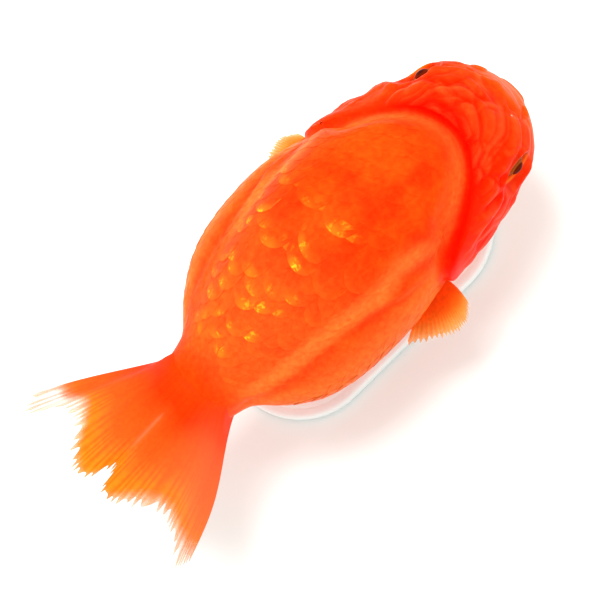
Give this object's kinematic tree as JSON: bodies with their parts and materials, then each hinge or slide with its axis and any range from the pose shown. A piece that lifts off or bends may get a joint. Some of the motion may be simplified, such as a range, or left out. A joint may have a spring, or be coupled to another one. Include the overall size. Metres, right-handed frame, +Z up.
{
  "type": "ranchu goldfish on a display stand",
  "caption": "Life-size still model of a ranchu goldfish with a lobed red-orange head growth, round scaled body and spread double tail, held over a flat base by short rods.",
  "frame": {"origin": "middle of the underside of the stand's base, on the surface it stands on", "axes": "+X towards the fish's snout, +Y to the fish's left side, +Z up"},
  "size_m": [0.1395, 0.0669, 0.08],
  "materials": {
    "head_flesh": "moist",
    "scaled_skin": "moist",
    "fin_membrane": "moist",
    "eye": "glossy",
    "base": "satin",
    "rod": "brushed"
  },
  "bodies": {
    "root": {"head": "head_flesh", "wen_crown": "head_flesh", "lower_jaw": "head_flesh", "gill_cover_left": "head_flesh", "gill_cover_right": "head_flesh", "eye_left": "eye", "eye_right": "eye", "trunk": "scaled_skin", "tail_stalk": "scaled_skin", "tail_fin_left": "fin_membrane", "tail_fin_right": "fin_membrane", "pectoral_fin_left": "fin_membrane", "pectoral_fin_right": "fin_membrane", "pelvic_fin_left": "fin_membrane", "pelvic_fin_right": "fin_membrane", "anal_fin_left": "fin_membrane", "anal_fin_right": "fin_membrane", "stand_base": "base", "stand_rod_front": "rod", "stand_rod_back": "rod"}
  },
  "joints": []
}
